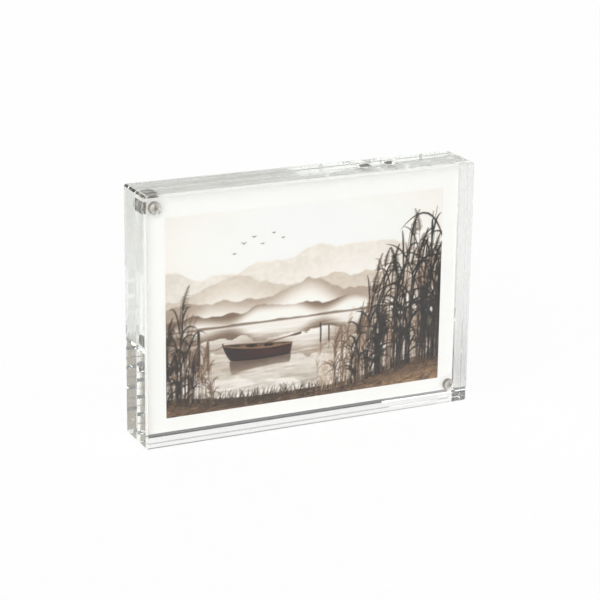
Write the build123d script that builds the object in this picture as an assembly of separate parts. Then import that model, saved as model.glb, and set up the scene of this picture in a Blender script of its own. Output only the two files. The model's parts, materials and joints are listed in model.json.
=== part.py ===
from build123d import *
import os
from math import radians, tan

# Acrylic block frame: two clear blocks held face to face by magnets, with a print between them.
# Millimetres, +Z up. It stands on a long edge with the picture towards -Y, and the origin is at
# the middle of the footprint, on the surface it stands on.

# The two blocks
block_width = 177.8
block_height = 127.0
front_thickness = 12.0
rear_thickness = 15.0
edge_bevel = 1.0
mating_bevel = 0.2

# The print and the room it has between the blocks
print_thickness = 0.25
print_clearance = 0.025
print_left_margin = 4.3
print_right_margin = 5.4
print_top_margin = 3.2
print_bottom_margin = 5.0

# The magnets, in two opposite corners of each block
magnet_diameter = 6.0
magnet_length = 5.0
magnet_edge_radius = 0.3
magnet_inset = 7.8
magnet_recess = 0.05

# The blind bores that the magnets are bonded into
bond_line = 0.05
drill_point_angle = 118.0

# Worked out from the sizes above
print_gap = print_thickness + 2 * print_clearance
total_depth = front_thickness + print_gap + rear_thickness
front_face_y = -total_depth / 2
front_mating_y = front_face_y + front_thickness
rear_mating_y = front_mating_y + print_gap
bore_radius = magnet_diameter / 2 + bond_line
bore_depth = magnet_recess + magnet_length
drill_point_length = bore_radius / tan(radians(drill_point_angle / 2))
magnet_x = block_width / 2 - magnet_inset
magnet_places = {
    "top_left": (-magnet_x, block_height - magnet_inset),
    "bottom_right": (magnet_x, magnet_inset),
}
FROM_BASE = (Align.CENTER, Align.CENTER, Align.MIN)


def seat_plane(place, mating_y, inwards):
    """A plane on a mating face at one magnet, with its Z axis pointing into the block."""
    x, z = place
    return Plane(origin=(x, mating_y, z), x_dir=(1, 0, 0), z_dir=(0, inwards, 0))


def drilled_bore():
    """The space that the drill leaves: a round bore that ends in the drill's point."""
    bore = Cylinder(bore_radius, bore_depth, align=FROM_BASE)
    point = Cone(bore_radius, 0, drill_point_length, align=FROM_BASE)
    return bore + Pos(0, 0, bore_depth) * point


def magnet():
    """A plated round magnet, set just below the mating face, with the rims rounded by plating."""
    body = Pos(0, 0, magnet_recess) * Cylinder(magnet_diameter / 2, magnet_length, align=FROM_BASE)
    return fillet(body.edges().filter_by(GeomType.CIRCLE), magnet_edge_radius)


def block(low_y, thickness, mating_y, inwards):
    """A polished block, drilled from its mating face, whose edges there are only just broken."""
    middle = Pos(0, low_y + thickness / 2, block_height / 2)
    blank = middle * Box(block_width, thickness, block_height)
    mating_side = 0 if inwards > 0 else -1
    outline = blank.faces().sort_by(Axis.Y)[mating_side].edges()
    blank = chamfer(blank.edges() - outline, edge_bevel)
    outline = blank.faces().sort_by(Axis.Y)[mating_side].edges()
    blank = chamfer(outline, mating_bevel)
    for place in magnet_places.values():
        blank -= seat_plane(place, mating_y, inwards) * drilled_bore()
    return blank


def photo_print():
    """A flat sheet, a little smaller than the blocks, that the magnets press between them."""
    width = block_width - print_left_margin - print_right_margin
    height = block_height - print_top_margin - print_bottom_margin
    middle_x = (print_left_margin - print_right_margin) / 2
    foot = Pos(middle_x, front_mating_y + print_gap / 2, print_bottom_margin)
    return foot * Box(width, print_thickness, height, align=FROM_BASE)


nodes = {
    "front_block": block(front_face_y, front_thickness, front_mating_y, -1),
    "rear_block": block(rear_mating_y, rear_thickness, rear_mating_y, 1),
    "photo_print": photo_print(),
}
for corner, place in magnet_places.items():
    nodes[f"front_magnet_{corner}"] = seat_plane(place, front_mating_y, -1) * magnet()
    nodes[f"rear_magnet_{corner}"] = seat_plane(place, rear_mating_y, 1) * magnet()

os.makedirs("parts", exist_ok=True)
for name, shape in nodes.items():
    export_step(shape, f"parts/{name}.step")
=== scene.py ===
import json
import math

import bmesh
import bpy
import numpy as np
from mathutils import Matrix, Vector


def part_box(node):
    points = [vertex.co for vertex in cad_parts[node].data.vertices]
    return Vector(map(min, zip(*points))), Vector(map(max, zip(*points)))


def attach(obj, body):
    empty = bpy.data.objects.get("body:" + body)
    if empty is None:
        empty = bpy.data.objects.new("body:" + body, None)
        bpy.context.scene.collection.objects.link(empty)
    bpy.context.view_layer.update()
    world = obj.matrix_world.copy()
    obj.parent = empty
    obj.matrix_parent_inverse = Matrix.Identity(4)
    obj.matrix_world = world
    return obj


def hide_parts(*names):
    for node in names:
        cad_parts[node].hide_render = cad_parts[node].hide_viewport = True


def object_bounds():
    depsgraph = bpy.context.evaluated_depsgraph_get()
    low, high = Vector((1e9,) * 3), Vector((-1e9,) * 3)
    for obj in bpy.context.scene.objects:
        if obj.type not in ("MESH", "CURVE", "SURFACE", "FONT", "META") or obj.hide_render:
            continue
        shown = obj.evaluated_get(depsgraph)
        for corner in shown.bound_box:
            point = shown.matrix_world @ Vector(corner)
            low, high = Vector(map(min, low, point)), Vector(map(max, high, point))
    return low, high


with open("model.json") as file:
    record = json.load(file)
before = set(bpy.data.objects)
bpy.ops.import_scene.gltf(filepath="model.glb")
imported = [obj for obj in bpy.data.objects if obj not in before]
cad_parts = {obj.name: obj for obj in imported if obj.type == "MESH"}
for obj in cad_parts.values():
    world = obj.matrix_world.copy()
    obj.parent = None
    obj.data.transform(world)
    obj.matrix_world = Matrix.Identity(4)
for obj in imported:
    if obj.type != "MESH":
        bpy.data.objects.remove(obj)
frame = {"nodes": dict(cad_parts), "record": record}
cad_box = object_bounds()
MM = 0.001

# The photograph's camera: the way it faces, in degrees, and its distance and target, in metres
VIEW_AZIMUTH = -25.42
VIEW_ELEVATION = 17.53
VIEW_ROLL = 0.71
VIEW_DISTANCE = 1.0152
VIEW_TARGET_X = -0.00757
VIEW_TARGET_Z = 0.06651
LENS_MM = 124.1
SENSOR_MM = 36.0

# The studio: a white table under a soft dome, with softboxes, and dark cards that draw the blocks' edges
TABLE_HALF = 6.0
TABLE_DROP = 0.1 * MM
TABLE_WHITE = "#F6F6F5"
# The colour of the painted shade on the table, beyond the picture's right-hand edge
TABLE_PAINTED_SHADE = "#E4E4E2"
# How much of the table reads as pure white, to the camera and in the acrylic and the metal
TABLE_LIFT = 0.92
GLASS_LIFT = 0.1
# The way in which the table's colour is painted darker, a painted shade, and the distances between which it
# darkens
PAINTED_SHADE_WAY = (0.837, -0.547, 0.0)
PAINTED_SHADE_FROM = 0.165
PAINTED_SHADE_TO = 0.30
DOME_LEVEL = (0.96, 0.96, 0.96, 1.0)
STUDIO = (
    # azimuth from the front towards +X, elevation, full inside this angle, gone outside this one, light
    (300.0, 74.0, 28.0, 48.0, (1.85, 1.85, 1.85, 1.0)),
    (-45.0, 20.0, 18.0, 34.0, (2.4, 2.4, 2.4, 1.0)),
    (21.0, 19.5, 8.0, 15.0, (0.46, 0.42, 0.36, 1.0)),
    (156.0, 2.6, 8.0, 15.0, (0.22, 0.22, 0.22, 1.0)),
    (238.0, 18.0, 34.0, 46.0, (0.1, 0.1, 0.1, 1.0)),
    (92.0, 60.0, 26.0, 36.0, (0.12, 0.12, 0.12, 1.0)),
)
# How many times light is followed from wall to wall inside a block
LIGHT_BOUNCES = 48

# The finishes: how much the acrylic bends light, and the size of each surface's own marks
ACRYLIC_IOR = 1.49
TOOL_LINE_WIDTH = 1.3 * MM
TOOL_LINE_DEPTH = 0.0005 * MM
PLATING_HAZE = 1.2 * MM
FILM_GRAIN = 0.4 * MM
PAPER_TOOTH = 0.5 * MM
PAPER_TOOTH_DEPTH = 0.02 * MM

# The magnets, each bonded into its bore with clear adhesive
BOND_LINE = 0.05 * MM
BOND_BITE = 0.02 * MM
# The bores end short of this far from the middle of the depth, and the outer faces lie beyond it
BORE_REACH = 12.0 * MM
BORE_ROUGHNESS = 0.3
MAGNET_RIM = 0.3 * MM
MAGNET_SIDES = 72
RIM_STEPS = 4
# Painted light on the magnets' metal: a painted highlight at the rims, painted shade in the middle of the
# ends and on the sides
NICKEL_PAINTED_LIGHT = (
    # from the middle of an end, at 0, to the side, at 0.5
    (0.05, "#86817A"),
    (0.40, "#DAD6CE"),
    (0.455, "#DAD6CE"),
    (0.49, "#8A857D"),
)

# The print, in millimetres: a white sheet with a picture, painted in dots of which two by two share a cell
PAPER_WHITE = "#F6F6F4"
PICTURE_WIDTH = 150.6
PICTURE_HEIGHT = 101.4
PICTURE_CENTRE_X = -0.14
PICTURE_CENTRE_Z = 62.73
PICTURE_EDGE = 0.02
DOT_COLUMNS = 748
DOT_ROWS = 504
DOT = PICTURE_WIDTH / DOT_COLUMNS

# The scene in the print: a misty lake, in millimetres from the picture's lower left corner
WATERLINE = 43.0
MIST = "#EDE9E3"
HILLS = (
    # crest height, rise and fall, slope length, depth of mist at the foot, colour
    (76.0, 15.0, 52.0, 30.0, "#DFDAD3"),
    (65.0, 12.0, 37.0, 20.0, "#CFC8BF"),
    (56.5, 9.0, 26.0, 13.0, "#B6ADA4"),
    (49.5, 5.0, 17.0, 7.0, "#958A80"),
)
BOAT_BOW_X = 30.0
BOAT_STERN_X = 68.0
BOAT_FOOT_Z = 25.0
STEM_HEIGHT = 8.0
STAKES = (
    # x, foot, top, width
    (17.2, 20.5, 41.5, 1.5),
    (22.0, 22.8, 36.0, 1.2),
    (83.0, 29.0, 38.5, 0.9),
    (87.6, 29.8, 36.6, 0.8),
)
BIRDS = (
    # x, height, wing span
    (41.0, 84.0, 3.0),
    (46.5, 87.0, 2.5),
    (51.0, 83.2, 2.3),
    (57.0, 88.0, 2.0),
    (36.0, 79.5, 2.1),
    (62.0, 85.0, 1.8),
)
REEDS = (
    # from x at the open water, to x on the shore, how many, shortest, tallest, stem width, colour
    (80.0, 155.0, 46, 20.0, 52.0, 0.28, "#B3A79B"),
    (90.0, 155.0, 50, 26.0, 70.0, 0.38, "#85786C"),
    (26.0, -6.0, 26, 16.0, 46.0, 0.34, "#8F8276"),
    (100.0, 156.0, 46, 30.0, 84.0, 0.55, "#4A3E35"),
    (18.0, -6.0, 20, 18.0, 62.0, 0.50, "#4A3E35"),
    (110.0, 156.0, 18, 36.0, 90.0, 0.75, "#332A23"),
)
PEBBLES = 380
GRASS_BLADES = 560
# The painting's soft random patterns repeat after this many patches
DRIFT_CELLS = 64
# How the painting is printed
PRINT_CONTRAST = 0.92
SHADOW_WARMTH = (1.0, 0.84, 0.68)
DEEPEST_INK = 0.003
BARE_PAPER = 0.9


def srgb(hex_colour):
    """An sRGB hex colour as linear red, green, blue and a full alpha."""
    channels = [int(hex_colour[i:i + 2], 16) / 255 for i in (1, 3, 5)]
    return tuple(c / 12.92 if c <= 0.04045 else ((c + 0.055) / 1.055) ** 2.4 for c in channels) + (1.0,)


def tone(hex_colour):
    """An sRGB hex colour as a linear red, green, blue array."""
    return np.array(srgb(hex_colour)[:3])


def towards(azimuth, elevation):
    """The direction at an azimuth from the front towards +X, and an elevation, in degrees."""
    turn, rise = math.radians(azimuth), math.radians(elevation)
    return Vector((math.sin(turn) * math.cos(rise), -math.cos(turn) * math.cos(rise), math.sin(rise)))


def add_node(tree, kind, inputs=None, **settings):
    """Adds a node, applies its settings, and sets or links its inputs."""
    node = tree.nodes.new(kind)
    for name, value in settings.items():
        setattr(node, name, value)
    for key, value in (inputs or {}).items():
        if isinstance(value, bpy.types.NodeSocket):
            tree.links.new(value, node.inputs[key])
        else:
            node.inputs[key].default_value = value
    return node


# The sockets of a Mix node that mixes colours
MIX_SHARE, MIX_FROM, MIX_TO, MIX_RESULT = 0, 6, 7, 2


def new_material(name):
    """An empty node material and its tree."""
    material = bpy.data.materials.new(name)
    material.use_nodes = True
    material.node_tree.nodes.clear()
    return material, material.node_tree


def add_object(name, mesh, material):
    """An object in the scene with one material."""
    mesh.materials.append(material)
    piece = bpy.data.objects.new(name, mesh)
    bpy.context.scene.collection.objects.link(piece)
    return piece


# The picture


def soft_step(value, low, high):
    """0 at low, 1 at high, with a soft step between."""
    share = np.clip((value - low) / (high - low), 0, 1)
    return share * share * (3 - 2 * share)


def drift(x, z, size_x, size_z, seed, octaves=4):
    """Soft random values from -1 to 1, in patches of about the given size."""
    total, full = 0.0, 0.0
    for octave in range(octaves):
        cells = np.random.default_rng(100 * seed + octave).uniform(-1, 1, (DRIFT_CELLS, DRIFT_CELLS))
        u, v = np.asarray(x / size_x * 2 ** octave), np.asarray(z / size_z * 2 ** octave)
        column, row = np.floor(u).astype(int), np.floor(v).astype(int)
        across, up = soft_step(u - column, 0, 1), soft_step(v - row, 0, 1)
        left, right = column % DRIFT_CELLS, (column + 1) % DRIFT_CELLS
        low, high = row % DRIFT_CELLS, (row + 1) % DRIFT_CELLS
        lower = cells[low, left] * (1 - across) + cells[low, right] * across
        upper = cells[high, left] * (1 - across) + cells[high, right] * across
        total = total + (lower * (1 - up) + upper * up) / 2 ** octave
        full += 1 / 2 ** octave
    return total / full


def bow(start, bend, end, count=12):
    """Points along a line that bows towards a third point."""
    t = np.linspace(0, 1, count)[:, None]
    start, bend, end = (np.asarray(p, float) for p in (start, bend, end))
    return (1 - t) ** 2 * start + 2 * t * (1 - t) * bend + t ** 2 * end


def bank_height(x):
    """How high the near bank stands across the picture."""
    rise = 4.5 * (1 - soft_step(x, 0, 45)) + 9.5 * soft_step(x, 84, 150)
    return 5.0 + rise + 0.9 * drift(x, 0, 12, 1, seed=71, octaves=5)


class Canvas:
    """A painted surface in linear colours, with its lower left corner at 0, 0."""

    def __init__(self):
        self.across = (np.arange(DOT_COLUMNS) + 0.5) * DOT
        self.x, self.z = np.meshgrid(self.across, (np.arange(DOT_ROWS) + 0.5) * DOT)
        self.bank = bank_height(self.across)
        self.colour = np.ones((DOT_ROWS, DOT_COLUMNS, 3))

    def lay(self, cover, colour):
        """Covers the canvas with a colour as far as cover, from 0 to 1, says."""
        self.colour += cover[..., None] * (colour - self.colour)

    def below(self, height):
        """Cover under a line across the picture."""
        return np.clip((height - self.z) / DOT + 0.5, 0, 1)

    def window(self, low, high):
        """The rows and columns of a patch, from its lower left corner to its upper right one."""
        columns = slice(max(int(low[0] / DOT), 0), max(int(high[0] / DOT) + 1, 0))
        rows = slice(max(int(low[1] / DOT), 0), max(int(high[1] / DOT) + 1, 0))
        return rows, columns

    def stroke(self, points, widths, colour, strength=1.0):
        """A brush stroke through the points, as wide at each as its width."""
        points = np.asarray(points, float)
        widths = np.broadcast_to(widths, len(points))
        reach = widths.max() / 2 + DOT
        rows, columns = self.window(points.min(0) - reach, points.max(0) + reach)
        corner = np.array((columns.start * DOT, rows.start * DOT))
        x, z = self.x[0, columns], self.z[rows, 0]
        cover = np.zeros((len(z), len(x)))
        for a, b, width_a, width_b in zip(points, points[1:], widths, widths[1:]):
            part = self.window(np.minimum(a, b) - reach - corner, np.maximum(a, b) + reach - corner)
            off_x, off_z = x[part[1]] - a[0], z[part[0], None] - a[1]
            run_x, run_z = b - a
            along = np.clip((off_x * run_x + off_z * run_z) / (run_x ** 2 + run_z ** 2 + 1e-9), 0, 1)
            away = np.hypot(off_x - along * run_x, off_z - along * run_z)
            width = width_a + along * (width_b - width_a)
            ink = np.clip((width / 2 - away) / DOT + 0.5, 0, 1) * np.minimum(width / DOT, 1)
            cover[part] = np.maximum(cover[part], ink)
        patch = self.colour[rows, columns]
        patch += (strength * cover)[..., None] * (colour - patch)


def paint_sky(art):
    """A pale sky, warmer towards the water, with faint streaks of cloud."""
    height = (art.z - WATERLINE) / (PICTURE_HEIGHT - WATERLINE)
    art.colour[:] = tone("#E7E2DA")
    art.lay(soft_step(height, 0.0, 0.5), tone("#F2EDE7"))
    art.lay(soft_step(height, 0.4, 1.0), tone("#F5F2ED"))
    art.colour *= 1 + 0.03 * drift(art.x, art.z, 48, 9, seed=3)[..., None]


def paint_hills(art):
    """Ridge behind ridge, each darker than the one behind it, and lost in mist at its foot."""
    for index, (crest, rise, slope, mist_depth, colour) in enumerate(HILLS):
        ridge = crest + rise * drift(art.across + 40 * index, 0, slope, 1, seed=11 + index, octaves=6)
        haze = 1.3 - 0.3 * index
        cover = soft_step(ridge - art.z, -haze / 2, haze / 2)
        woods = 1 + 0.07 * drift(art.x, art.z, 2.2, 1.6, seed=21 + index, octaves=2)[..., None]
        brow = crest + rise * drift(art.across + 40 * index, 0, slope, 1, seed=11 + index, octaves=1)
        fade = soft_step(brow - art.z, 0, mist_depth)[..., None]
        art.lay(cover, tone(colour) * woods * (1 - fade) + tone(MIST) * fade)


def paint_water(art):
    """Still water that mirrors the hills, in ripples that widen towards the viewer."""
    near = np.clip((WATERLINE - art.z) / WATERLINE, 0, 1)
    # Even steps of this depth look ever wider towards the viewer, as ripples do
    depth = 60 * np.sqrt(near)
    sway = drift(art.x, depth, 16, 1.6, seed=41, octaves=3)
    mirror = 2 * WATERLINE - art.z + sway * (0.5 + 3.5 * near)
    row = np.clip((mirror / DOT).astype(int), round(WATERLINE / DOT) + 1, DOT_ROWS - 1)
    column = np.clip(((art.x + 1.5 * sway * near) / DOT).astype(int), 0, DOT_COLUMNS - 1)
    water = art.colour[row, column] * (0.94 - 0.10 * near)[..., None]
    ripple = drift(art.x, depth, 11, 0.9, seed=47, octaves=3)
    water *= 1 - (0.05 + 0.20 * near[..., None]) * soft_step(-ripple, 0.0, 0.5)[..., None]
    water += 0.10 * soft_step(ripple, 0.15, 0.6)[..., None] * tone("#F6F2EC")
    art.lay(art.below(WATERLINE), np.minimum(water, 0.92))
    shore = WATERLINE + 0.7 + 0.7 * drift(art.across, 0, 10, 1, seed=53, octaves=5)
    art.lay(0.8 * art.below(shore) * (1 - art.below(WATERLINE - 0.4)), tone("#7D7064"))


def paint_stakes(art):
    """Weathered mooring stakes in the shallows, with their mirror images."""
    for x, foot, top, width in STAKES:
        image = bow((x, foot), (x + 0.6, foot - 4), (x - 0.4, foot - 0.8 * (top - foot)))
        art.stroke(image, np.linspace(width, width / 2, len(image)), tone("#4A3D34"), 0.4)
        post = bow((x, foot - 0.5), (x + 0.2, (foot + top) / 2), (x - 0.1, top))
        art.stroke(post, width, tone("#41362E"))
        art.stroke(post + (0.2 * width, 0), 0.3 * width, tone("#8A7B6D"), 0.6)


def paint_boat_image(art):
    """The boat's mirror image, which the ripples break up."""
    length = BOAT_STERN_X - BOAT_BOW_X
    sway = drift(art.x, art.z, 9, 0.8, seed=61, octaves=3)
    s = np.clip((art.x - BOAT_BOW_X - 3 + 0.5 * sway) / (length - 4), 0, 1)
    ends = soft_step(s, 0, 0.05) * (1 - soft_step(s, 0.97, 1))
    depth = (4.2 + 3.4 * (1 - s) ** 3) * ends
    sunk = BOAT_FOOT_Z - art.z - 0.3
    image = soft_step(depth + 0.8 * sway - sunk, -0.5, 0.5) * soft_step(sunk, -0.5, 0.2)
    art.lay(0.7 * image * (1 - 0.5 * soft_step(sunk, 1, 7)), tone("#513A34"))


def paint_boat(art):
    """A small rowing boat at its mooring: inside, thwarts, hull, rails, stem, oar and rope."""
    length = BOAT_STERN_X - BOAT_BOW_X
    # The bow rakes forward and the transom leans back, so a point's place along the hull leans with height
    height = art.z - BOAT_FOOT_Z
    lean = STEM_HEIGHT - np.clip(height, 0, STEM_HEIGHT)
    along = (art.x - BOAT_BOW_X - 0.55 * lean) / (length - 0.75 * lean)
    on_hull = soft_step(along, -0.006, 0.006) * (1 - soft_step(along, 0.994, 1.006))
    s = np.clip(along, 0, 1)
    rail = 4.2 + 4.0 * (1 - s) ** 2.5 + 1.4 * s ** 3
    far_rail = rail + 2.3 * np.sin(np.pi * s ** 0.9) ** 0.7
    foot = -0.8 * np.sin(np.pi * s)

    def band(low, high):
        under, over = (high - height) / DOT + 0.5, (height - low) / DOT + 0.5
        return np.clip(under, 0, 1) * np.clip(over, 0, 1) * on_hull

    art.lay(band(rail - 0.2, far_rail), tone("#332822"))
    for place, width in ((0.27, 0.05), (0.52, 0.06), (0.78, 0.075)):
        thwart = soft_step(width - np.abs(s - place), 0, 0.012)
        art.lay(band(rail + 0.2, far_rail - 0.5) * thwart, tone("#8E7C6B"))
    course = ((height - foot) / np.maximum(rail - foot, 0.1) * 4) % 1
    planks = 0.82 + 0.3 * soft_step(course, 0.0, 0.35)
    weather = 1 + 0.25 * drift(art.x, art.z, 5, 0.7, seed=67)
    light = 0.7 + 0.45 * soft_step(s, 0.0, 0.6)
    art.lay(band(foot, rail), tone("#512D29") * (planks * weather * light)[..., None])
    art.lay(0.8 * band(foot - 0.3, foot + 0.8), tone("#2A201C"))
    art.lay(band(rail - 0.35, rail + 0.2), tone("#A8957F"))
    art.lay(band(far_rail - 0.25, far_rail + 0.15), tone("#8A7765"))
    x, z = BOAT_BOW_X, BOAT_FOOT_Z
    art.stroke(bow((x + 4.0, z + 0.6), (x + 1.6, z + 3.2), (x - 0.2, z + 9.2)), 0.8, tone("#2E231D"))
    oar = bow((x + 15, z + 5.4), (x + 26, z + 7.8), (x + 42, z + 9.8))
    art.stroke(oar, np.linspace(0.45, 0.6, len(oar)), tone("#7A6655"))
    art.stroke(oar[-3:], (0.7, 1.3, 1.1), tone("#7A6655"))
    art.stroke(bow((STAKES[0][0], 36.0), (24.0, 28.5), (x, z + 8.4)), 0.28, tone("#4A3D34"))


def paint_birds(art, rng):
    """A few far birds."""
    for x, z, span in BIRDS:
        lift = span * rng.uniform(0.15, 0.45)
        for side in (-1, 1):
            tip = (x + side * span / 2, z + lift * rng.uniform(0.2, 0.8))
            wing = bow((x, z), (x + 0.22 * side * span, z + lift), tip, 8)
            art.stroke(wing, np.linspace(0.5, 0.2, 8), tone("#5A4E45"), 0.9)


def paint_bank(art, rng):
    """The near bank: damp earth, pebbles and short dry grass."""
    depth = np.clip((art.bank - art.z) / 11, 0, 1)[..., None]
    clods = drift(art.x, art.z, 3.4, 1.2, seed=73, octaves=5)
    grit = drift(art.x, art.z, 0.7, 0.45, seed=79, octaves=2)
    earth = tone("#57493E") * (1 - depth) + tone("#A4937F") * depth
    art.lay(art.below(art.bank), np.clip(earth * (1 + 0.5 * clods + 0.35 * grit)[..., None], 0, 1))
    for _ in range(PEBBLES):
        x = rng.uniform(0, PICTURE_WIDTH)
        z = rng.uniform(0, 0.95) * np.interp(x, art.across, art.bank)
        size = rng.uniform(0.4, 1.5) * (1.2 - z / 22)
        stone = np.array([(x - size / 2, z), (x + size / 2, z + rng.uniform(-0.15, 0.15))])
        art.stroke(stone - (0, 0.25 * size), 0.55 * size, tone("#32281F"), 0.6)
        art.stroke(stone, 0.5 * size, tone("#9C8B7A") * rng.uniform(0.6, 1.25), 0.9)
    for _ in range(GRASS_BLADES):
        x = rng.uniform(-2, PICTURE_WIDTH + 2)
        z = np.interp(x, art.across, art.bank) - 5 * rng.uniform() ** 2
        height, lean = rng.uniform(1.5, 5.5), rng.normal(0.3, 1.4)
        blade = bow((x, z), (x + 0.2 * lean, z + 0.6 * height), (x + lean, z + height), 6)
        art.stroke(blade, np.linspace(0.4, 0.14, 6), tone("#4B4035") * rng.uniform(0.6, 1.8), 0.9)


def paint_plume(art, rng, tip, side, width, colour):
    """The feathery head of a reed, which hangs over to one side."""
    length = rng.uniform(8, 15) * (0.6 + 0.6 * width)
    for share in np.linspace(0, 1, 16):
        root = tip + (0.25 * side * length * share ** 2, length * (share - 0.35))
        spread = length * (0.30 - 0.24 * share) * rng.uniform(0.7, 1.2)
        for turn in (-0.5, 1.0):
            reach = turn * side * spread
            end = root + (reach, rng.uniform(0.0, 0.45) * spread)
            strand = bow(root, root + (0.4 * reach, 0.5 * spread), end, 5)
            art.stroke(strand, np.linspace(0.9, 0.3, 5) * width, colour * rng.uniform(0.9, 1.25), 0.85)


def paint_reed(art, rng, x, height, width, colour):
    """One reed: a thin stem, blades that arch over, and most often a plume at the tip."""
    foot = np.interp(x, art.across, art.bank) - 2.5
    lean = rng.normal(2.5, 3.0) * height / 60
    stem = bow((x, foot), (x + 0.1 * lean, foot + 0.6 * height), (x + lean, foot + height))
    art.stroke(stem, np.linspace(width, 0.45 * width, len(stem)), colour)
    for _ in range(rng.integers(3, 6)):
        start = stem[rng.integers(1, 9)]
        reach, rise = rng.normal(0, 0.17) * height, rng.uniform(0.12, 0.38) * height
        droop = rng.uniform(-0.1, 0.8) * abs(reach)
        blade = bow(start, start + (0.3 * reach, rise), start + (reach, rise - droop), 10)
        taper = np.sin(np.linspace(0.6, np.pi, 10)) ** 0.8
        art.stroke(blade, 1.5 * width * taper + 0.06, colour * rng.uniform(0.8, 1.3))
    if rng.uniform() < 0.6:
        paint_plume(art, rng, stem[-1], 1 if lean > 0 else -1, width, colour)


def paint_reeds(art, rng):
    """Reed beds on both sides, the pale far ones first, and shorter towards the open water."""
    for water, shore, count, shortest, tallest, width, colour in REEDS:
        for _ in range(count):
            inland = rng.uniform()
            height = rng.uniform(shortest, tallest) * (0.45 + 0.55 * min(1.0, 1.8 * inland))
            shade = tone(colour) * rng.uniform(0.75, 1.2)
            x = water + inland * (shore - water)
            paint_reed(art, rng, x, height, width * rng.uniform(0.8, 1.2), shade)


def paint_picture():
    """The whole picture, as linear colours from its lower left corner."""
    rng = np.random.default_rng(7)
    art = Canvas()
    paint_sky(art)
    paint_hills(art)
    paint_water(art)
    paint_stakes(art)
    paint_boat_image(art)
    paint_boat(art)
    paint_birds(art, rng)
    paint_bank(art, rng)
    paint_reeds(art, rng)
    corner = np.hypot(art.x / PICTURE_WIDTH - 0.5, art.z / PICTURE_HEIGHT - 0.5)
    art.colour *= 1 - 0.16 * soft_step(corner, 0.3, 0.8)[..., None]
    # It is printed with more contrast and warmer shadows than it was painted with, for the pane in front
    # lays a pale, neutral veil over them
    light = np.clip(art.colour, 0, 1)
    ink = light + PRINT_CONTRAST * (soft_step(light, 0, 1) - light)
    shadow = (1 - ink.mean(axis=2, keepdims=True)) ** 2
    return np.clip(ink * (1 + shadow * (np.array(SHADOW_WARMTH) - 1)), DEEPEST_INK, BARE_PAPER)


# The materials


def bore_mask(tree, place, across):
    """1 on the walls of the bores and 0 elsewhere, where across is a point's place through the thickness."""
    low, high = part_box("front_magnet_top_left")
    middle = Vector((0.0, 0.0, (cad_box[0].z + cad_box[1].z) / 2))
    axis = Vector(((low.x + high.x) / 2, 0.0, (low.z + high.z) / 2)) - middle
    bore_radius = (high.x - low.x) / 2 + BOND_LINE
    spot = add_node(tree, "ShaderNodeVectorMath", {0: place, 1: middle}, operation="SUBTRACT").outputs[0]
    flat = add_node(tree, "ShaderNodeVectorMath", {0: spot, 1: (1.0, 0.0, 1.0)}, operation="MULTIPLY")
    near = []
    for centre in (axis, -axis):
        gap = add_node(tree, "ShaderNodeVectorMath", {0: flat.outputs[0], 1: centre}, operation="DISTANCE")
        near.append(add_node(tree, "ShaderNodeMath", {
            0: gap.outputs["Value"],
            1: bore_radius + 2 * BOND_LINE,
        }, operation="LESS_THAN").outputs[0])
    drilled = add_node(tree, "ShaderNodeMath", {0: near[0], 1: near[1]}, operation="MAXIMUM")
    depth = add_node(tree, "ShaderNodeMath", {0: across}, operation="ABSOLUTE")
    inside = add_node(tree, "ShaderNodeMath", {0: depth.outputs[0], 1: BORE_REACH}, operation="LESS_THAN")
    mask = add_node(tree, "ShaderNodeMath", {
        0: drilled.outputs[0],
        1: inside.outputs[0],
    }, operation="MULTIPLY")
    return mask.outputs[0]


def cast_acrylic():
    """Cast acrylic, cut and polished: water-clear, with faint tool lines along the edges and satin bores."""
    material, tree = new_material("cast_acrylic_polished")
    place = add_node(tree, "ShaderNodeTexCoord").outputs["Object"]
    # The saw and the polishing wheel run along each edge, so the lines change across the thickness only
    across = add_node(tree, "ShaderNodeSeparateXYZ", {"Vector": place}).outputs["Y"]
    lines = add_node(tree, "ShaderNodeTexNoise", {
        "W": across,
        "Scale": 1 / TOOL_LINE_WIDTH,
        "Detail": 2.0,
    }, noise_dimensions="1D")
    polish_and_painted_rim_light = add_node(tree, "ShaderNodeBump", {
        "Height": lines.outputs["Fac"],
        "Strength": 1.0,
        "Distance": TOOL_LINE_DEPTH,
    })
    # The bores keep the drill's satin finish, which scatters what is seen through them
    rough = add_node(tree, "ShaderNodeMath", {
        0: bore_mask(tree, place, across),
        1: BORE_ROUGHNESS,
    }, operation="MULTIPLY")
    skin = add_node(tree, "ShaderNodeBsdfPrincipled", {
        "Base Color": srgb("#FFFFFF"),
        "Roughness": rough.outputs[0],
        "IOR": ACRYLIC_IOR,
        "Transmission Weight": 1.0,
        "Normal": polish_and_painted_rim_light.outputs["Normal"],
    })
    # A long way through the block takes a little light, most of it blue
    depths = add_node(tree, "ShaderNodeVolumeAbsorption", {"Color": srgb("#C8D4BC"), "Density": 1.0})
    add_node(tree, "ShaderNodeOutputMaterial", {
        "Surface": skin.outputs["BSDF"],
        "Volume": depths.outputs["Volume"],
    })
    return material


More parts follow.
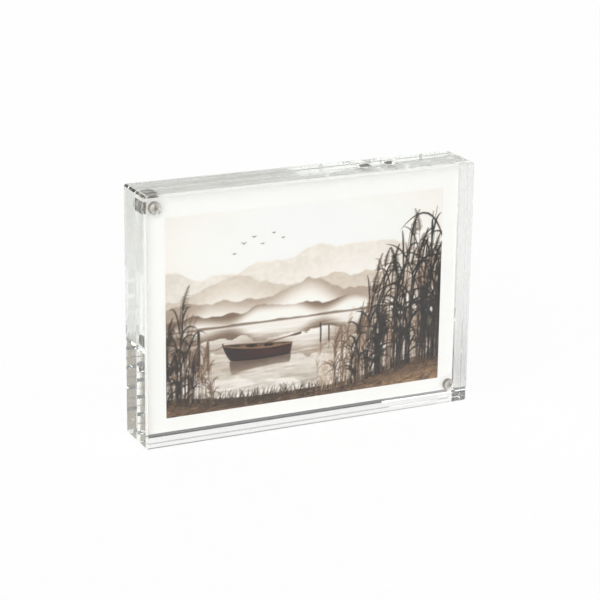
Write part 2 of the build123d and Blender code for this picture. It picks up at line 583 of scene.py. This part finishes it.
def nickel_plate():
    """Barrel-plated nickel on a pressed magnet: warm grey metal, with a painted highlight at the rims and
    painted shade elsewhere.
    """
    material, tree = new_material("nickel_barrel_plated")
    place = add_node(tree, "ShaderNodeTexCoord")
    haze = add_node(tree, "ShaderNodeTexNoise", {
        "Vector": place.outputs["Object"],
        "Scale": 1 / PLATING_HAZE,
        "Detail": 3.0,
    })
    # The metal's colour is painted lighter at the rims, a painted highlight, and darker in the middle of the
    # ends and on the sides, a painted shade
    spot = add_node(tree, "ShaderNodeVectorMath", {
        0: place.outputs["Generated"],
        1: (0.5, 0.0, 0.5),
    }, operation="SUBTRACT")
    flat = add_node(tree, "ShaderNodeVectorMath", {
        0: spot.outputs[0],
        1: (1.0, 0.0, 1.0),
    }, operation="MULTIPLY")
    out = add_node(tree, "ShaderNodeVectorMath", {0: flat.outputs[0]}, operation="LENGTH")
    polish_and_painted_rim_light = add_node(tree, "ShaderNodeValToRGB", {"Fac": out.outputs["Value"]})
    painted_light_stops = polish_and_painted_rim_light.color_ramp.elements
    painted_light_stops.remove(painted_light_stops[1])
    painted_light_stops[0].position, painted_light_stops[0].color = NICKEL_PAINTED_LIGHT[0][0], srgb(NICKEL_PAINTED_LIGHT[0][1])
    for position, colour in NICKEL_PAINTED_LIGHT[1:]:
        painted_light_stops.new(position).color = srgb(colour)
    cloud = add_node(tree, "ShaderNodeMapRange", {
        "Value": haze.outputs["Fac"],
        "To Min": 0.8,
        "To Max": 1.2,
    })
    shade = add_node(tree, "ShaderNodeVectorMath", {
        0: polish_and_painted_rim_light.outputs["Color"],
        1: cloud.outputs[0],
    }, operation="MULTIPLY")
    rough = add_node(tree, "ShaderNodeMapRange", {
        "Value": haze.outputs["Fac"],
        "To Min": 0.14,
        "To Max": 0.3,
    })
    plate = add_node(tree, "ShaderNodeBsdfPrincipled", {
        "Base Color": shade.outputs[0],
        "Metallic": 1.0,
        "Roughness": rough.outputs[0],
    })
    add_node(tree, "ShaderNodeOutputMaterial", {"Surface": plate.outputs["BSDF"]})
    return material


def photo_paper():
    """Matt-coated photo paper: a bright white base, a fine-grained picture and hardly any shine."""
    material, tree = new_material("photo_paper_matt_coated")
    place = add_node(tree, "ShaderNodeTexCoord").outputs["Object"]
    picture = add_node(tree, "ShaderNodeVertexColor", layer_name="picture")
    # Film grain is finer than this, and is drawn at 0.4 mm so that it shows
    grain = add_node(tree, "ShaderNodeTexNoise", {"Vector": place, "Scale": 1 / FILM_GRAIN, "Detail": 2.0})
    level = add_node(tree, "ShaderNodeMapRange", {
        "Value": grain.outputs["Fac"],
        "To Min": 0.94,
        "To Max": 1.06,
    })
    dye = add_node(tree, "ShaderNodeVectorMath", {
        0: picture.outputs["Color"],
        1: level.outputs[0],
    }, operation="MULTIPLY")
    # The paper's tooth is finer than this, and is drawn at 0.5 mm so that it shows
    tooth = add_node(tree, "ShaderNodeTexNoise", {"Vector": place, "Scale": 1 / PAPER_TOOTH})
    surface = add_node(tree, "ShaderNodeBump", {
        "Height": tooth.outputs["Fac"],
        "Strength": 0.3,
        "Distance": PAPER_TOOTH_DEPTH,
    })
    paper = add_node(tree, "ShaderNodeBsdfPrincipled", {
        "Base Color": dye.outputs[0],
        "Roughness": 0.65,
        "IOR": 1.5,
        "Specular IOR Level": 0.05,
        "Normal": surface.outputs["Normal"],
    })
    add_node(tree, "ShaderNodeOutputMaterial", {"Surface": paper.outputs["BSDF"]})
    return material


# The pieces


def cell_corners(dots):
    """The mean colour of the four dots that meet at each corner of the cells."""
    padded = np.pad(dots, ((1, 1), (1, 1), (0, 0)), mode="edge")
    return (padded[::2, ::2] + padded[1::2, ::2] + padded[::2, 1::2] + padded[1::2, 1::2]) / 4


def grid_lines(sheet_low, picture_low, picture_size, cells, sheet_high):
    """Lines across the sheet: its edges, a hair's breadth round the picture, and the picture's own cells."""
    picture = picture_low + np.linspace(0, picture_size, cells + 1)
    before, after = picture[0] - PICTURE_EDGE, picture[-1] + PICTURE_EDGE
    return np.concatenate([[sheet_low, before], picture, [after, sheet_high]])


def make_print(material):
    """The print as one closed sheet, with a fine grid on its front that carries the picture's colours."""
    low, high = (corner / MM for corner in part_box("photo_print"))
    left, foot = PICTURE_CENTRE_X - PICTURE_WIDTH / 2, PICTURE_CENTRE_Z - PICTURE_HEIGHT / 2
    x = grid_lines(low.x, left, PICTURE_WIDTH, DOT_COLUMNS // 2, high.x)
    z = grid_lines(low.z, foot, PICTURE_HEIGHT, DOT_ROWS // 2, high.z)
    grid_x, grid_z = np.meshgrid(x, z)
    front = np.stack([grid_x, np.full_like(grid_x, low.y), grid_z], -1).reshape(-1, 3)
    index = np.arange(len(front)).reshape(len(z), len(x))
    cells = np.stack([index[:-1, :-1], index[:-1, 1:], index[1:, 1:], index[1:, :-1]], -1).reshape(-1, 4)
    rim = np.concatenate([index[0, :-1], index[:-1, -1], index[-1, :0:-1], index[:0:-1, 0]])
    back = front[rim] + (0, high.y - low.y, 0)
    middle = [((low.x + high.x) / 2, high.y, (low.z + high.z) / 2)]
    points = np.concatenate([front, back, middle]) * MM
    behind = len(front) + np.arange(len(rim))
    sides = np.stack([rim, behind, np.roll(behind, -1), np.roll(rim, -1)], -1)
    fan = np.stack([behind, np.full_like(behind, len(points) - 1), np.roll(behind, -1)], -1)

    mesh = bpy.data.meshes.new("photo_print_sheet")
    mesh.from_pydata(points.tolist(), [], cells.tolist() + sides.tolist() + fan.tolist())
    dyes = np.tile(np.array(srgb(PAPER_WHITE)), (len(points), 1))
    dyes[index[2:-2, 2:-2].reshape(-1), :3] = cell_corners(paint_picture()).reshape(-1, 3)
    layer = mesh.color_attributes.new("picture", "FLOAT_COLOR", "POINT")
    layer.data.foreach_set("color", dyes.astype(np.float32).reshape(-1))
    sheet = add_object("photo_print_sheet", mesh, material)
    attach(sheet, "print")
    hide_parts("photo_print")


def make_magnet(node, body, material):
    """A plated magnet with rounded rims, out to the bore wall that its clear adhesive joins it to."""
    low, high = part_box(node)
    centre_x, centre_z = (low.x + high.x) / 2, (low.z + high.z) / 2
    radius = (high.x - low.x) / 2 + BOND_LINE + BOND_BITE
    outline = []
    for step in range(RIM_STEPS + 1):
        turn = math.pi / 2 * step / RIM_STEPS
        inset, rise = MAGNET_RIM * (1 - math.sin(turn)), MAGNET_RIM * (1 - math.cos(turn))
        outline.append((radius - inset, low.y + rise))
    outline += [(r, low.y + high.y - y) for r, y in reversed(outline)]
    shape = bmesh.new()
    rings = []
    for r, y in outline:
        ring = []
        for side in range(MAGNET_SIDES):
            turn = 2 * math.pi * side / MAGNET_SIDES
            ring.append(shape.verts.new((centre_x + r * math.cos(turn), y, centre_z + r * math.sin(turn))))
        rings.append(ring)
    for ring, following in zip(rings, rings[1:]):
        for side in range(MAGNET_SIDES):
            after = (side + 1) % MAGNET_SIDES
            shape.faces.new((ring[side], following[side], following[after], ring[after])).smooth = True
    shape.faces.new(rings[0])
    shape.faces.new(reversed(rings[-1]))
    bmesh.ops.recalc_face_normals(shape, faces=shape.faces)
    mesh = bpy.data.meshes.new(f"{node}_plated")
    shape.to_mesh(mesh)
    shape.free()
    piece = add_object(f"{node}_plated", mesh, material)
    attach(piece, body)
    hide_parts(node)


# The studio


def place_camera():
    """The photograph's viewpoint, with its slight roll."""
    back = towards(VIEW_AZIMUTH, VIEW_ELEVATION)
    target = Vector((VIEW_TARGET_X, cad_box[0].y, VIEW_TARGET_Z))
    data = bpy.data.cameras.new("camera")
    data.lens = LENS_MM
    data.sensor_width = SENSOR_MM
    data.clip_start = 0.01
    data.clip_end = 20.0
    camera = bpy.data.objects.new("camera", data)
    turn = (-back).to_track_quat("-Z", "Y").to_matrix() @ Matrix.Rotation(math.radians(VIEW_ROLL), 3, "Z")
    camera.matrix_world = Matrix.Translation(target + back * VIEW_DISTANCE) @ turn.to_4x4()
    bpy.context.scene.collection.objects.link(camera)
    bpy.context.scene.camera = camera


def studio_table():
    """A wide white table just under the blocks, its colour painted darker beyond the picture's right-hand
    edge as a painted shade.
    """
    material, tree = new_material("table_white_laminate")
    place = add_node(tree, "ShaderNodeTexCoord").outputs["Object"]
    away = add_node(tree, "ShaderNodeVectorMath", {0: place, 1: PAINTED_SHADE_WAY}, operation="DOT_PRODUCT")
    # Painted shade: the laminate's colour darkens from white along this way
    painted_shade = add_node(tree, "ShaderNodeMapRange", {
        "Value": away.outputs["Value"],
        "From Min": PAINTED_SHADE_FROM,
        "From Max": PAINTED_SHADE_TO,
    }, interpolation_type="SMOOTHSTEP")
    shade = add_node(tree, "ShaderNodeMix", {
        MIX_SHARE: painted_shade.outputs[0],
        MIX_FROM: srgb(TABLE_WHITE),
        MIX_TO: srgb(TABLE_PAINTED_SHADE),
    }, data_type="RGBA")
    laminate = add_node(tree, "ShaderNodeBsdfDiffuse", {"Color": shade.outputs[MIX_RESULT]})
    white = add_node(tree, "ShaderNodeEmission", {"Color": srgb("#FFFFFF"), "Strength": 1.0})
    # It reads nearly white to the camera and a little lighter in the acrylic and the metal than it is lit,
    # and the rest of it is diffuse, so that it keeps the blocks' shadow
    path = add_node(tree, "ShaderNodeLightPath")
    glass = add_node(tree, "ShaderNodeMath", {
        0: path.outputs["Is Glossy Ray"],
        1: path.outputs["Is Transmission Ray"],
    }, operation="MAXIMUM")
    in_glass = add_node(tree, "ShaderNodeMath", {0: glass.outputs[0], 1: GLASS_LIFT}, operation="MULTIPLY")
    direct = add_node(tree, "ShaderNodeMath", {
        0: path.outputs["Is Camera Ray"],
        1: TABLE_LIFT,
    }, operation="MULTIPLY")
    lift = add_node(tree, "ShaderNodeMath", {
        0: direct.outputs[0],
        1: in_glass.outputs[0],
    }, operation="MAXIMUM")
    mix = add_node(tree, "ShaderNodeMixShader", {
        0: lift.outputs[0],
        1: laminate.outputs[0],
        2: white.outputs[0],
    })
    add_node(tree, "ShaderNodeOutputMaterial", {"Surface": mix.outputs[0]})
    mesh = bpy.data.meshes.new("studio_table")
    signs = ((-1, -1), (1, -1), (1, 1), (-1, 1))
    corners = [(x * TABLE_HALF, y * TABLE_HALF, -TABLE_DROP) for x, y in signs]
    mesh.from_pydata(corners, [], [range(len(corners))])
    add_object("studio_table", mesh, material)


def studio_light():
    """A soft dome with its softboxes and cards, all out of the camera's view."""
    world = bpy.data.worlds.new("studio")
    bpy.context.scene.world = world
    world.use_nodes = True
    tree = world.node_tree
    tree.nodes.clear()
    place = add_node(tree, "ShaderNodeTexCoord").outputs["Generated"]
    light = DOME_LEVEL
    for azimuth, elevation, full, gone, level in STUDIO:
        facing = add_node(tree, "ShaderNodeVectorMath", {
            0: place,
            1: towards(azimuth, elevation),
        }, operation="DOT_PRODUCT")
        share = add_node(tree, "ShaderNodeMapRange", {
            "Value": facing.outputs["Value"],
            "From Min": math.cos(math.radians(gone)),
            "From Max": math.cos(math.radians(full)),
        }, interpolation_type="SMOOTHSTEP")
        mix = add_node(tree, "ShaderNodeMix", {
            MIX_SHARE: share.outputs[0],
            MIX_FROM: light,
            MIX_TO: level,
        }, data_type="RGBA")
        light = mix.outputs[MIX_RESULT]
    dome = add_node(tree, "ShaderNodeBackground", {"Color": light, "Strength": 1.0})
    add_node(tree, "ShaderNodeOutputWorld", {"Surface": dome.outputs["Background"]})


finishes = {"clear_acrylic": cast_acrylic(), "nickel_plate": nickel_plate(), "photo_paper": photo_paper()}
for part in frame["record"]["subparts"]:
    node = frame["nodes"][part["node"]]
    node.data.materials.clear()
    node.data.materials.append(finishes[part["material_slot"]])
for body, names in frame["record"]["behaviour"]["bodies"].items():
    for name in names:
        if "magnet" in name:
            make_magnet(name, body, finishes["nickel_plate"])
make_print(finishes["photo_paper"])

studio_table()
studio_light()
place_camera()

# Light runs many times along the inside of a block before it comes out, and stays sharp
scene = bpy.context.scene
scene.view_settings.view_transform = "Standard"
scene.cycles.blur_glossy = 0.0
scene.cycles.max_bounces = LIGHT_BOUNCES
scene.cycles.glossy_bounces = LIGHT_BOUNCES
scene.cycles.transmission_bounces = LIGHT_BOUNCES
